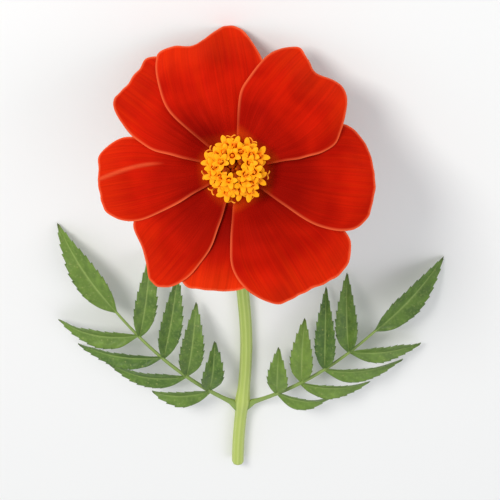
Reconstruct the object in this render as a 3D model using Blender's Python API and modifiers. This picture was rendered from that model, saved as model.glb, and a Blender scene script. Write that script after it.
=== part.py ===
"""A picked French marigold lying on a flat surface: the solids of all its pieces.

Sizes are in millimetres, and become metres when a mesh is written. The head is modelled in a
frame of its own: its origin is the middle of the involucre's rim, +Z is the flower's axis, and
+Y is the side that leans down to the surface. The stem lies along -Y from the head.
"""

import math
import random
from collections import namedtuple

import bmesh
import bpy
from mathutils import Vector

MM = 0.001
COLLECTION = "marigold_flower"
TOUCH_GAP = 0.3  # clearance between neighbouring solids

# Stem: it lies on the surface, and its neck lifts the head.
STEM_RADIUS = 1.15
STEM_LENGTH = 76.0
NECK_LENGTH = 16.0
HEAD_ELEVATION = math.radians(50.0)  # the flower's axis above the surface
SWAY = math.radians(5.0)  # sideways wander of the lying stem
SWELL_LENGTH = 27.0  # stretch over which the stem widens towards the head
SWELL_RADIUS = 2.25
NODE_PLACE = 16.0  # from the cut end to the joint that carries the leaves
NODE_RADIUS = 1.45
NODE_SPREAD = 2.2
STEM_STEP = 2.0

# Involucre: a cup of joined bracts, solid below the seat of the florets.
INVOLUCRE_LENGTH = 16.0
RIM_RADIUS = 4.85
CUP_WALL = 0.45
RECEPTACLE_DEPTH = 6.9
BRACTS = 8
RIB_HEIGHT = 0.03  # as a share of the radius
BRACT_TIP = 1.1

# Ray petals
CLAW_RADIUS = 3.65  # from the axis to the petal's narrow foot
CLAW_HALF_WIDTH = 0.76
CLAW_DEPTH = 5.5
RIM_CLEARANCE = 0.85  # height of the petal's middle surface where it crosses the rim
BLADE_START = 5.0
PETAL_REACH = 23.0
PETAL_THICKNESS = 0.4
CROWN = 1.1  # how far a blade rises before it droops
LAYER = 1.45  # height between two petals that overlap
LAYER_PITCH = math.radians(45.0)
LAYER_RISE = 0.8  # way past the rim over which the petals part into layers
DROOP = 2.2
DROOP_AT_REST = 3.0  # added on the side that leans on the surface
REST_SIDE = math.radians(100.0)
CUP = 0.45  # how far a blade's edges curl against its middle
WIDENING_POWER = 0.66
SHOULDER_POWER = 3.2
TIP_NARROWING = 0.08
NOTCH_WIDTH = 0.32  # as a share of the half width

# A petal leans when one of its edges lies over its neighbour: 1 for the edge on the left seen
# from the axis outwards, -1 for the right one. A petal above both neighbours is lifted.
Petal = namedtuple("Petal", "angle length half_width shoulder notch notch_at lean lift")
PETALS = [
    Petal(99.0, 25.4, 8.3, 0.28, 0.0, 0.0, 1, 0.0),
    Petal(51.0, 22.9, 9.6, 0.21, 2.4, 0.0, 0, 0.95),
    Petal(-4.0, 23.5, 9.6, 0.16, 0.9, -0.1, -1, 0.0),
    Petal(-58.5, 24.2, 10.1, 0.15, 1.3, 0.0, -1, 0.0),
    Petal(-100.5, 20.9, 7.6, 0.20, 0.8, 0.1, 0, -1.4),
    Petal(-131.0, 23.0, 8.5, 0.24, 0.9, -0.2, 1, 0.0),
    Petal(-172.5, 23.0, 9.5, 0.18, 0.7, 0.15, 1, 0.0),
    Petal(141.0, 23.8, 9.3, 0.20, 0.6, 0.0, 1, 0.0),
]

# Disc florets
FLORETS = 32
BASE_SPREAD = 2.75  # radius of the circle that holds the florets' feet
TOP_SPREAD = 4.75
FLARE_START = 0.5
FLORET_FOOT_RADIUS = 0.2
FLORET_MOUTH_RADIUS = 0.54
TUBE_HEIGHT = 2.2  # where the narrow foot ends above the rim
HEIGHT_JITTER = 0.35
OUTER_TOP = 5.3
INNER_TOP = 6.7
CENTRE_TOP = 5.2
CLOSED_FLORETS = 5
GOLDEN_ANGLE = math.radians(137.508)

# Leaves
LEAF_THICKNESS = 0.5
RACHIS_HALF_WIDTH = 0.55
PETIOLE = 6.5
PAIR_SPACING = 7.2
PAIR_LENGTHS = (12.5, 16.5, 18.5, 17.5)
TERMINAL_LENGTH = 22.0
LEAFLET_ANGLE = math.radians(50.0)
LEAFLET_HALF_WIDTH = 2.4
TERMINAL_HALF_WIDTH = 3.1
LEAF_ARCH = 5.0
LEAF_REACH = 15.5
LEAF_LENGTH = PETIOLE + PAIR_SPACING * len(PAIR_LENGTHS) + TERMINAL_LENGTH

Leaf = namedtuple("Leaf", "name side heading sweep scale")
LEAVES = [
    Leaf("leaf_left", -1, math.radians(43.0), 5.0, 0.92),
    Leaf("leaf_right", 1, math.radians(50.0), -4.0, 0.86),
]

RED = (0.58, 0.018, 0.006)
FLORET_ORANGE = (0.86, 0.27, 0.015)
FLORET_BROWN = (0.30, 0.05, 0.008)
CUP_GREEN = (0.21, 0.31, 0.06)
STEM_GREEN = (0.36, 0.48, 0.16)
LEAF_GREEN = (0.12, 0.22, 0.05)


def clamp(value):
    return min(1.0, max(0.0, value))


def smooth(value):
    value = clamp(value)
    return value * value * (3.0 - 2.0 * value)


def mix(low, high, share):
    return low + (high - low) * share


# Making objects


def clear_scene():
    for obj in list(bpy.data.objects):
        bpy.data.objects.remove(obj, do_unlink=True)
    collection = bpy.data.collections.new(COLLECTION)
    bpy.context.scene.collection.children.link(collection)
    return collection


def make_material(name, color, roughness):
    material = bpy.data.materials.new(name)
    material.use_nodes = True
    shader = material.node_tree.nodes["Principled BSDF"]
    shader.inputs["Base Color"].default_value = (*color, 1.0)
    shader.inputs["Roughness"].default_value = roughness
    shader.inputs["Metallic"].default_value = 0.0
    return material


def add_object(name, data, parent, color, roughness):
    obj = bpy.data.objects.new(name, data)
    obj.parent = parent
    data.materials.append(make_material(name, color, roughness))
    bpy.data.collections[COLLECTION].objects.link(obj)
    return obj


def add_empty(name, parent=None):
    empty = bpy.data.objects.new(name, None)
    empty.parent = parent
    bpy.data.collections[COLLECTION].objects.link(empty)
    return empty


def shaped_grid(name, columns, rows, place):
    """A grid whose corners (0..1, 0..1) are put where place(u, v) says; meeting edges are joined."""
    shape = bmesh.new()
    bmesh.ops.create_grid(shape, x_segments=columns, y_segments=rows, size=0.5)
    for vertex in shape.verts:
        vertex.co = Vector(place(vertex.co.x + 0.5, vertex.co.y + 0.5)) * MM
    bmesh.ops.remove_doubles(shape, verts=shape.verts, dist=0.001 * MM)
    mesh = bpy.data.meshes.new(name)
    shape.to_mesh(mesh)
    shape.free()
    mesh.shade_smooth()
    return mesh


def tube(name, points, radii, parent, color, roughness, resolution):
    """A round rod through the points, with its own radius at each of them and closed ends."""
    curve = bpy.data.curves.new(name, "CURVE")
    curve.dimensions = "3D"
    curve.bevel_depth = MM
    curve.bevel_resolution = resolution
    curve.use_fill_caps = True
    spline = curve.splines.new("POLY")
    spline.points.add(len(points) - 1)
    for target, point, radius in zip(spline.points, points, radii):
        target.co = (*(Vector(point) * MM), 1.0)
        target.radius = radius
    return add_object(name, curve, parent, color, roughness)


# Stem


def stem_route():
    """Centre points of the stem, from its cut end to its top under the involucre."""
    steps = round(STEM_LENGTH / STEM_STEP)
    neck_start = STEM_LENGTH - NECK_LENGTH
    point = Vector((0.0, 0.0, 0.0))
    points = [Vector((0.0, 0.0, stem_radius(0.0)))]
    for index in range(steps):
        middle = (index + 0.5) * STEM_STEP
        lift = HEAD_ELEVATION * smooth((middle - neck_start) / NECK_LENGTH)
        aside = SWAY * math.sin(2.0 * math.pi * middle / neck_start) * clamp(neck_start - middle)
        heading = Vector((math.sin(aside), math.cos(aside) * math.cos(lift), math.sin(lift)))
        point = point + heading * STEM_STEP
        lying_radius = stem_radius(min((index + 1) * STEM_STEP, neck_start))
        points.append(point + Vector((0.0, 0.0, lying_radius)))
    return points


def stem_radius(place):
    """Radius at a distance from the cut end: a swollen leaf joint, and a neck that widens."""
    swell = clamp((place - STEM_LENGTH + SWELL_LENGTH) / SWELL_LENGTH)
    joint = math.exp(-(((place - NODE_PLACE) / NODE_SPREAD) ** 2))
    neck = mix(STEM_RADIUS, SWELL_RADIUS, swell**1.7)
    return neck + (NODE_RADIUS - STEM_RADIUS) * joint


def build_stem(route, parent):
    radii = [stem_radius(index * STEM_STEP) for index in range(len(route))]
    tube("stem", route, radii, parent, STEM_GREEN, 0.55, 4)


def head_frame(route, parent):
    """An empty at the middle of the involucre's rim, whose +Z is the flower's axis."""
    axis = Vector((0.0, math.cos(HEAD_ELEVATION), math.sin(HEAD_ELEVATION)))
    head = add_empty("head", parent)
    head.location = (route[-1] + axis * (INVOLUCRE_LENGTH + TOUCH_GAP)) * MM
    head.rotation_euler = (HEAD_ELEVATION - math.pi / 2.0, 0.0, 0.0)
    return head


# Involucre


def involucre_profile():
    """Radius and height along the cup, from the foot's middle, up the outside and down inside."""
    inside = RIM_RADIUS - CUP_WALL
    return [
        (0.0, -INVOLUCRE_LENGTH),
        (SWELL_RADIUS, -INVOLUCRE_LENGTH),
        (2.95, -14.3),
        (3.85, -11.0),
        (4.6, -7.5),
        (4.95, -4.0),
        (RIM_RADIUS, -1.6),
        (RIM_RADIUS, 0.0),
        (inside, 0.0),
        (inside, -1.6),
        (inside, -4.5),
        (3.9, -RECEPTACLE_DEPTH + 0.3),
        (0.0, -RECEPTACLE_DEPTH),
    ]


def build_involucre(head):
    profile = involucre_profile()
    rows = len(profile) - 1
    rim_rows = (7, 8)

    def place(u, v):
        row = round(v * rows)
        radius, height = profile[row]
        turn = 2.0 * math.pi * u
        bract = math.cos(BRACTS * turn)
        if 2 <= row <= rim_rows[0]:
            radius *= 1.0 + RIB_HEIGHT * bract
        if row in rim_rows:
            height -= BRACT_TIP * (0.5 - 0.5 * bract)
        return radius * math.cos(turn), radius * math.sin(turn), height

    mesh = shaped_grid("involucre", 4 * BRACTS, rows, place)
    add_object("involucre", mesh, head, CUP_GREEN, 0.5)


# Ray petals


def petal_droop(angle):
    """How far the petals' ends hang below the rim at an angle round the head."""
    rest = (0.5 + 0.5 * math.cos(angle - REST_SIDE)) ** 2
    ripple = 0.35 * math.sin(3.0 * angle + 0.7) + 0.25 * math.sin(5.0 * angle)
    return DROOP + DROOP_AT_REST * rest + ripple


def blade_height(petal, across, along):
    """Height of a blade's middle surface at a place beside and along its axis."""
    radius = math.hypot(across, along)
    turn = math.atan2(-across, along)
    out = (radius - BLADE_START) / (PETAL_REACH - BLADE_START)
    layer = petal.lean * LAYER * turn / LAYER_PITCH + petal.lift
    crown = CROWN * math.sin(math.pi * clamp(out))
    droop = petal_droop(math.radians(petal.angle) + turn) * clamp(out) * out
    return RIM_CLEARANCE + crown - droop + layer * smooth((radius - BLADE_START) / LAYER_RISE)


def petal_place(petal, u, v):
    """A point of the petal before it is turned to its place: +Y along it, +X to its right."""
    side = 2.0 * u - 1.0
    claw_share = 0.09
    bend_share = 0.25
    bend_radius = BLADE_START - CLAW_RADIUS
    bend_foot = RIM_CLEARANCE - bend_radius
    if v <= claw_share:
        height = mix(-CLAW_DEPTH, bend_foot, v / claw_share)
        return side * CLAW_HALF_WIDTH, CLAW_RADIUS, height
    if v <= bend_share:
        turn = math.pi / 2.0 * (v - claw_share) / (bend_share - claw_share)
        along = CLAW_RADIUS + bend_radius * (1.0 - math.cos(turn))
        return side * CLAW_HALF_WIDTH, along, bend_foot + bend_radius * math.sin(turn)
    blade = (v - bend_share) / (1.0 - bend_share)
    widening = math.sin(math.pi / 2.0 * blade**WIDENING_POWER)
    half_width = mix(CLAW_HALF_WIDTH, petal.half_width, widening) * (1.0 - TIP_NARROWING * blade**8)
    notch = petal.notch * math.exp(-(((side - petal.notch_at) / NOTCH_WIDTH) ** 2))
    tip = petal.length * (1.0 - petal.shoulder * abs(side) ** SHOULDER_POWER) - notch
    across = side * half_width
    along = mix(BLADE_START, tip, blade)
    cup = CUP * (side * side - 0.35) * math.sin(2.0 * math.pi * blade) * smooth(4.0 * blade)
    return across, along, blade_height(petal, across, along) + cup


def build_petal(number, petal, head):
    name = f"petal_{number}"
    mesh = shaped_grid(name, 6, 12, lambda u, v: petal_place(petal, u, v))
    obj = add_object(name, mesh, head, RED, 0.6)
    obj.rotation_euler = (0.0, 0.0, math.radians(petal.angle - 90.0))
    shell = obj.modifiers.new("thickness", "SOLIDIFY")
    shell.thickness = PETAL_THICKNESS * MM
    shell.offset = 0.0


# Disc florets


def floret_top(share):
    """Height of a floret's mouth at a share of the disc's radius: a ring round a hollow."""
    if share < 0.45:
        return mix(CENTRE_TOP, INNER_TOP, smooth(share / 0.45))
    return mix(INNER_TOP, OUTER_TOP, smooth((share - 0.45) / 0.55))


def build_floret(index, jitter, head):
    share = math.sqrt((index + 0.5) / FLORETS)
    angle = index * GOLDEN_ANGLE
    top = floret_top(share) + jitter
    foot = TOUCH_GAP - RECEPTACLE_DEPTH + 0.35 * share
    closed = index < CLOSED_FLORETS
    swellings = (0.0, 0.25, 0.5, 0.6, 0.1) if closed else (0.0, 0.25, 0.45, 0.85, 1.0)
    heights = (foot, 0.0, TUBE_HEIGHT, mix(TUBE_HEIGHT, top, 0.55), top)
    points = []
    for height in heights:
        flare = clamp((height - FLARE_START) / (OUTER_TOP - FLARE_START)) ** 1.4
        radius = share * mix(BASE_SPREAD, TOP_SPREAD, flare)
        points.append((radius * math.cos(angle), radius * math.sin(angle), height))
    radii = [mix(FLORET_FOOT_RADIUS, FLORET_MOUTH_RADIUS, share_of) for share_of in swellings]
    color = FLORET_BROWN if closed else FLORET_ORANGE
    tube(f"floret_{index + 1:02d}", points, radii, head, color, 0.6, 2)


# Leaves


def leaflet_half_width(place, widest):
    """Half width of a lance-shaped leaflet at a share of its length."""
    return widest * math.sin(math.pi * clamp(place) ** 0.8) ** 0.85


def leaflet_outline(root, heading, length, widest):
    """Outline points of a leaflet, out along its near edge and back along its far one."""
    forward = Vector((math.sin(heading), math.cos(heading)))
    beside = Vector((-forward.y, forward.x)) if heading > 0.0 else Vector((forward.y, -forward.x))
    places = (0.14, 0.28, 0.45, 0.62, 0.8)
    near = [(place, -1.0) for place in places]
    far = [(place, 1.0) for place in reversed(places)]
    points = []
    for place, edge in near + [(1.0, 0.0)] + far:
        half_width = leaflet_half_width(place, widest)
        points.append(root + forward * (length * place) + beside * (edge * half_width))
    return points


def leaf_side_outline(side):
    """Outline of one side of the leaf from its foot up to the terminal leaflet."""
    edge = side * RACHIS_HALF_WIDTH
    points = [Vector((edge, 0.0))]
    for pair, length in enumerate(PAIR_LENGTHS):
        root = Vector((edge, PETIOLE + pair * PAIR_SPACING))
        points.append(root - Vector((0.0, 0.5)))
        points += leaflet_outline(root, side * LEAFLET_ANGLE, length, LEAFLET_HALF_WIDTH)
        points.append(root + Vector((0.0, 0.9)))
    return points


def leaf_outline():
    root = Vector((0.0, LEAF_LENGTH - TERMINAL_LENGTH))
    terminal = leaflet_outline(root, 0.0, TERMINAL_LENGTH, TERMINAL_HALF_WIDTH)
    if terminal[0].x > 0.0:
        terminal.reverse()
    return leaf_side_outline(-1) + terminal + leaf_side_outline(1)[::-1]


def leaf_place(leaf, across, along, above):
    """A point of the flat leaf after it is swept sideways and arched down to the surface."""
    share = clamp(along / LEAF_LENGTH)
    spine = NODE_RADIUS * (1.0 - share) + LEAF_ARCH * math.sin(math.pi * share**0.9)
    fall = clamp(abs(across) / LEAF_REACH) ** 1.5
    height = LEAF_THICKNESS / 2.0 + (spine - LEAF_THICKNESS / 2.0) * (1.0 - fall)
    return across + leaf.sweep * share**2, along, max(height, LEAF_THICKNESS / 2.0) + above


def build_leaf(leaf, joint, parent):
    curve = bpy.data.curves.new(leaf.name, "CURVE")
    curve.dimensions = "2D"
    curve.fill_mode = "BOTH"
    curve.extrude = LEAF_THICKNESS / 2.0
    outline = leaf_outline()
    spline = curve.splines.new("POLY")
    spline.points.add(len(outline) - 1)
    spline.use_cyclic_u = True
    for target, point in zip(spline.points, outline):
        target.co = (point.x, point.y, 0.0, 1.0)
    flat = bpy.data.objects.new(leaf.name, curve)
    bpy.context.scene.collection.objects.link(flat)
    evaluated = flat.evaluated_get(bpy.context.evaluated_depsgraph_get())
    mesh = bpy.data.meshes.new_from_object(evaluated)
    bpy.data.objects.remove(flat, do_unlink=True)
    bpy.data.curves.remove(curve)
    shape = bmesh.new()
    shape.from_mesh(mesh)
    bmesh.ops.remove_doubles(shape, verts=shape.verts, dist=0.001)
    for vertex in shape.verts:
        placed = Vector(leaf_place(leaf, *vertex.co))
        placed.x *= leaf.scale
        placed.y *= leaf.scale
        vertex.co = placed * MM
    bmesh.ops.recalc_face_normals(shape, faces=shape.faces)
    shape.to_mesh(mesh)
    shape.free()
    obj = add_object(leaf.name, mesh, parent, LEAF_GREEN, 0.55)
    obj.rotation_euler = (0.0, 0.0, -leaf.side * leaf.heading)
    stand_off = NODE_RADIUS + TOUCH_GAP + RACHIS_HALF_WIDTH * math.cos(leaf.heading)
    obj.location = Vector((joint.x + leaf.side * stand_off, joint.y, 0.0)) * MM


# The whole flower


def stand_on_origin(root):
    """Moves the flower so that the origin is the middle of its box, at the surface."""
    bpy.context.view_layer.update()
    depsgraph = bpy.context.evaluated_depsgraph_get()
    corners = []
    for obj in bpy.data.collections[COLLECTION].objects:
        if obj.type == "EMPTY":
            continue
        mesh = obj.evaluated_get(depsgraph).to_mesh()
        corners += [obj.matrix_world @ vertex.co for vertex in mesh.vertices]
    low = Vector([min(corner[axis] for corner in corners) for axis in range(3)])
    high = Vector([max(corner[axis] for corner in corners) for axis in range(3)])
    root.location = (-(low.x + high.x) / 2.0, -(low.y + high.y) / 2.0, -low.z)


def main():
    clear_scene()
    root = add_empty("flower")
    route = stem_route()
    build_stem(route, root)
    head = head_frame(route, root)
    build_involucre(head)
    for number, petal in enumerate(PETALS, start=1):
        build_petal(number, petal, head)
    heights = random.Random(11)
    for index in range(FLORETS):
        build_floret(index, heights.uniform(-HEIGHT_JITTER, HEIGHT_JITTER), head)
    joint = route[round(NODE_PLACE / STEM_STEP)]
    for leaf in LEAVES:
        build_leaf(leaf, joint, root)
    stand_on_origin(root)


main()
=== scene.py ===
"""The looks of a picked French marigold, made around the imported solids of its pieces.

Sizes are in millimetres until a mesh is made. Shapes repeat the design of the solids and refine it.
The head's frame starts at the middle of the cup's rim: +Z is the flower's axis, and +Y is the side
that leans down to the surface. The stem's design starts at its cut end, and is moved to where the
packed cup is.
"""

import math
import random
from collections import namedtuple

import bpy
import numpy as np
from mathutils import Matrix, Vector


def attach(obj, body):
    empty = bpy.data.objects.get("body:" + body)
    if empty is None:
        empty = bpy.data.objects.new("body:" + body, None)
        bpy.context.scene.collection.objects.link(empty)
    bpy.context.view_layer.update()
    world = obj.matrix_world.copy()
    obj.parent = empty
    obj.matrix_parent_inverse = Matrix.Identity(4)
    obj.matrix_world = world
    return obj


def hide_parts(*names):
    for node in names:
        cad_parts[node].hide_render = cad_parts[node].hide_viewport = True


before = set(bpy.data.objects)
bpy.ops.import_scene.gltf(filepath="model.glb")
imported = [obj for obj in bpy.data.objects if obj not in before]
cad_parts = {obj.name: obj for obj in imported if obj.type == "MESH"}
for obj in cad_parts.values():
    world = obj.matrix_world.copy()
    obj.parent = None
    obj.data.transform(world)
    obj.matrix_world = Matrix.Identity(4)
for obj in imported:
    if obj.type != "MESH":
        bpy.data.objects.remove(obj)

MM = 0.001
BODY = "root"
TOUCH_GAP = 0.3  # that the solids keep where the real pieces touch
CIRCLE = 2 * math.pi

# Stem
STEM_RADIUS = 1.15
STEM_LENGTH = 76
NECK_LENGTH = 16
HEAD_ELEVATION = math.radians(50)
SWAY = math.radians(5)
SWELL_LENGTH = 27
SWELL_RADIUS = 2.25
NODE_PLACE = 16  # of the joint that carries the leaves
NODE_RADIUS = 1.45
NODE_SPREAD = 2.2
STEM_STEP = 2
STEM_ROWS = 300
CUT_ROWS = 5
CUT_DOME = 0.06
STEM_UNEVENNESS = 0.012
STEM_RIDGES = 8
RIDGE_DEPTH = 0.06  # as a share of the radius

# Involucre
INVOLUCRE_LENGTH = 16
RIM_RADIUS = 4.85
RECEPTACLE_DEPTH = 6.9
BRACTS = 8
RIB_HEIGHT = 0.03
BRACT_TIP = 1.25
TIP_START = -3.2  # height at which the bracts' edges part
BRACT_COLUMNS = 24
# Radius and height of the cup's wall, up its outside and down its inside.
CUP_FOOT = [(SWELL_RADIUS - 0.04, -INVOLUCRE_LENGTH), (2.4, -15.5), (2.95, -14.1)]
CUP_BELLY = [(3.85, -11), (4.6, -7.5), (4.95, -4), (RIM_RADIUS, -1.6), (RIM_RADIUS, 0)]
CUP_LIP = (4.78, 0.1)
CUP_INSIDE = [(4.62, 0), (4.4, -1.6), (4.4, -4.5), (3.9, -6.6), (0.4, -RECEPTACLE_DEPTH)]
CUP_LARGEST = 4.95 * (1 + RIB_HEIGHT) - 0.01

# Ray petals
CLAW_RADIUS = 3.65
CLAW_HALF_WIDTH = 0.76
CLAW_TOP_HALF_WIDTH = 1.05
CLAW_DEPTH = 5.5
RIM_CLEARANCE = 0.85
BLADE_START = 5
PETAL_REACH = 23
CROWN = 1.1
LAYER = 1.45
LAYER_PITCH = math.radians(45)
PRESSED = 0.56  # thin petals lie closer together than their solids
LIFT = 0.66  # of a layer
PARTING_START = 3.9
PARTING_RISE = 1.3
DROOP = 2.2
DROOP_AT_REST = 3.2
REST_SIDE = math.radians(100)
CUP = 0.25
CURL = 0.22
BULGE = 0.2  # of a petal between two that lie over it
VEIN_RELIEF = 0.03
PLEAT_RELIEF = 0.22
SWELL_RELIEF = 0.25
TIP_RELIEF = 0.3
SHARED_SWELL = 0.45
SHARED_RUFFLE = 0.6
EDGE_WAVE = 0.12
CORNER_POWER = 8
TIP_NARROWING = 0.07
CORNER_ROUNDING = 0.9
CLAW_SHARE = 0.09
BEND_SHARE = 0.25
FLARE_SHARE = 0.5  # of the bend, in which the foot widens into the blade
BLADE_THICKNESS = 0.24
MARGIN_THICKNESS = 0.08
MARGIN_WIDTH = 1.5
LOWEST_UPPER_FACE = 0.15  # above the surface, where a petal rests on it
LOWEST_LOWER_FACE = 0.03
PETAL_COLUMNS = 89
PETAL_ROWS = (4, 12, 96)  # of the foot, the bend and the blade

# A petal's sides run straight out from the flower's middle, at their fan angles, up to its half
# widths. The tip is its reach at seven even places from left to right, seen from the axis outwards.
# It leans by 1 when its left edge lies over its neighbour, and by -1 for the right edge. One above
# both is lifted. The blotch is how deep and long its dark foot is, which is partly the
# petal's own darker pigment and partly painted shade near the disc and under neighbours' edges; the
# skew is how much deeper to the right, which also sets the side that painted shade lies on. The
# glow is how bright the tip is, partly its own paler tone and partly a painted
# highlight, and the crease how high the fold is.
Petal = namedtuple("Petal", "angle fan_left fan_right left right tip lean lift blotch skew glow crease")
PETALS = [
    Petal(99, 41.5, 33, 10.8, 7.8, (22.6, 22.7, 22.3, 24.2, 24.9, 23.8, 19.4), 1, 0, 0.45, -2, 0.73, 0),
    Petal(51, 37.3, 41, 8.4, 10.6, (20.6, 23, 22.5, 21.4, 22.6, 21.5, 16.6), 0, 1, 0.55, 0.1, 0.7, 0),
    Petal(-4, 33, 33, 9.8, 9.2, (19, 21.6, 22.8, 23.5, 23.3, 22.9, 21), -1, 0, 0.9, 0.1, 0.15, 0),
    Petal(-58.5, 33, 36, 11.4, 9.7, (20.8, 23.5, 23.9, 23.5, 23.3, 22.4, 18.7), -1, 0, 0.74, -0.45, 0.55, 0),
    Petal(-100.5, 26, 26, 7.6, 7.6, (17.6, 19.4, 20, 20.4, 20.6, 20.4, 18.4), 0, -0.8, 1, 0, 1.3, 0),
    Petal(-131, 25, 28, 5.95, 8.6, (20.5, 22.7, 23.3, 22.5, 20.5, 19.2, 17.9), 1, 0, 0.9, 0, 0.48, 0),
    Petal(-172.5, 22.5, 28, 6.7, 9.4, (19.8, 22.3, 23, 23.2, 23, 22.3, 19), 1, 0, 0.7, -0.4, 0.6, 0.4),
    Petal(141, 27, 33, 6.7, 9.6, (19.4, 23.5, 23.9, 23.7, 23.8, 23.9, 20.4), 1, -0.2, 0.8, 0.1, 0.3, 0),
]

# Disc florets
FLORETS = 32
FOOT_SLOPE = 0.35  # of the seat that the florets stand on
BASE_SPREAD = 2.75
TOP_SPREAD = 4.75
FLARE_START = 0.5
FLORET_FOOT_RADIUS = 0.2
FLORET_MOUTH_RADIUS = 0.54
TUBE_HEIGHT = 2.2
HEIGHT_JITTER = 0.35
OUTER_TOP = 5.3
INNER_TOP = 6.7
CENTRE_TOP = 5.2
HIGHEST_PLACE = 0.45  # as a share of the disc's radius
CLOSED_FLORETS = 5
GOLDEN_ANGLE = math.radians(137.508)
LOBES = 5
LOBE_COLUMNS = 12
LOBE_ROWS = 7
COROLLA_WALL = 0.07
THROAT_DEPTH = 0.55
ANTHER_RADIUS = 0.3
RAY_STYLE_RADIUS = 0.15
ANTHER = 1  # the organs of an open floret, told apart by their colours
STYLE = 2
GROOVE_START = 0.45  # of a closed floret's height
YOUNG_TOP = 4.9
# Where the smallest unopened florets stand at their tops, and their radius there.
YOUNG_FLORETS = [
    (-0.45, -0.35, 0.46),
    (0.15, 0.92, 0.34),
    (-0.9, -1.15, 0.36),
    (1.42, 0.32, 0.34),
    (0.8, -0.78, 0.34),
]

# Leaves
LEAF_THICKNESS = 0.5
RACHIS_HALF_WIDTH = 0.55
PETIOLE = 6.5
PAIR_SPACING = 7.2
PAIR_LENGTHS = (12.5, 16.5, 18.5, 17.5)
TERMINAL_LENGTH = 22
LEAFLET_ANGLE = math.radians(50)
LEAFLET_HALF_WIDTH = 2.4
TERMINAL_HALF_WIDTH = 3.1
LEAF_ARCH = 5
LEAF_REACH = 15.5
LEAF_LENGTH = PETIOLE + PAIR_SPACING * len(PAIR_LENGTHS) + TERMINAL_LENGTH
LEAFLET_THICKNESS = 0.24
LEAFLET_EDGE = 0.1
LEAFLET_WAVES = 0.16
LEAFLET_VEINS = 0.06
LEAFLET_MIDRIB = 0.12
LEAFLET_KEEL = 0.22
LOWEST_LEAF = 0.04  # above the surface
LEAFLET_COLUMNS = 27
TOOTH_LENGTH = 1.7
TOOTH_DEPTH = 0.34

Leaf = namedtuple("Leaf", "name side heading sweep scale")
LEAVES = [
    Leaf("leaf_left", -1, math.radians(43), 5, 0.92),
    Leaf("leaf_right", 1, math.radians(50), -4, 0.86),
]

# Camera and light
VIEW_ELEVATION = math.radians(52)
VIEW_DISTANCE = 420
VIEW_WIDTH = 89  # of the picture, at the flower
VIEW_TARGET = (0, 7.5, 8)
SENSOR_WIDTH = 36
FLOOR_SIZE = 12  # in metres
FLOOR_PALE = (0.86, 0.86, 0.85)
FLOOR_ROUGHNESS = 0.8
SKY = (0.95, 0.97, 1)
SKY_STRENGTH = 0.68

Lamp = namedtuple("Lamp", "name place size power color")
LAMPS = [
    Lamp("key_light", (-310, 420, 440), 260, 2.7, (1, 0.98, 0.95)),
    Lamp("fill_light", (420, -60, 380), 400, 0.5, (0.96, 0.98, 1)),
]

# Seeds of what looks random
SWELL_SEED = 21
RUFFLE_SEED = 22
EDGE_SEED = 40
TIP_SEED = 60
TIP_RELIEF_SEED = 80
STEM_SEED = 5
HEIGHT_SEED = 11
FLORET_SEED = 500
STYLE_SEED = 900


def clamp(value):
    return np.clip(value, 0, 1)


def smooth(value):
    value = clamp(value)
    return value * value * (3 - 2 * value)


def mix(low, high, share):
    return low + (high - low) * share


def rounded(value, share):
    """The value, with less change towards -1 and 1, as far as the share says."""
    return mix(value, np.sin(value * math.pi / 2), share)


def bump_at(value, centre, width):
    """A soft hump of height 1 round a centre."""
    return np.exp(-(((value - centre) / width) ** 2))


def circle(count):
    """Even angles round a circle."""
    return np.linspace(0, CIRCLE, count, endpoint=False)


def ripples(seed, x, y, scale, count=7):
    """A smooth random field of about -1 to 1, whose waves are about scale long."""
    draws = random.Random(seed)
    total = 0
    for _ in range(count):
        turn = draws.uniform(0, CIRCLE)
        pitch = CIRCLE / (scale * draws.uniform(0.7, 1.6))
        phase = draws.uniform(0, CIRCLE)
        total = total + np.sin(pitch * (x * math.cos(turn) + y * math.sin(turn)) + phase)
    return total / math.sqrt(2 * count)


def through(points, count):
    """Points along a smooth curve (Catmull-Rom) through the given ones."""
    points = np.array(points, float)
    ends = (2 * points[0] - points[1], 2 * points[-1] - points[-2])
    knots = np.vstack([ends[:1], points, ends[1:]])
    place = np.linspace(0, len(points) - 1, count)
    index = np.minimum(place.astype(int), len(points) - 2)
    t = (place - index)[:, None]
    a, b, c, d = (knots[index + step] for step in range(4))
    bend = (2 * a - 5 * b + 4 * c - d) * t**2 + (3 * (b - c) + d - a) * t**3
    return b + 0.5 * ((c - a) * t + bend)


# Places


SINE, COSINE = math.sin(HEAD_ELEVATION), math.cos(HEAD_ELEVATION)
HEAD_AXES = np.array([[1, 0, 0], [0, SINE, -COSINE], [0, COSINE, SINE]])  # X, Y and Z


def stem_radius(place):
    """Radius at a distance from the cut end: a swollen joint, and a neck that widens."""
    swell = clamp((place - STEM_LENGTH + SWELL_LENGTH) / SWELL_LENGTH)
    joint = bump_at(place, NODE_PLACE, NODE_SPREAD)
    return mix(STEM_RADIUS, SWELL_RADIUS, swell**1.7) + (NODE_RADIUS - STEM_RADIUS) * joint


def stem_route():
    """Centre points of the stem from its cut end to its top under the involucre."""
    neck_start = STEM_LENGTH - NECK_LENGTH
    middle = np.arange(STEM_STEP / 2, STEM_LENGTH, STEM_STEP)
    lift = HEAD_ELEVATION * smooth((middle - neck_start) / NECK_LENGTH)
    aside = SWAY * np.sin(CIRCLE * middle / neck_start) * clamp(neck_start - middle)
    heading = np.stack([np.sin(aside), np.cos(aside) * np.cos(lift), np.sin(lift)], axis=-1)
    points = np.vstack([np.zeros(3), np.cumsum(heading * STEM_STEP, axis=0)])
    place = STEM_STEP * np.arange(len(points))
    points[:, 2] += stem_radius(np.minimum(place, neck_start))
    return points


def packed_head_origin():
    """The middle of the cup's rim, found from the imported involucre."""
    corners = np.array([vertex.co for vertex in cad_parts["involucre"].data.vertices]) / MM
    local = corners @ HEAD_AXES.T
    middle = (local.min(axis=0) + local.max(axis=0)) / 2
    middle[2] = local[:, 2].max()
    return middle @ HEAD_AXES


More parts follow.
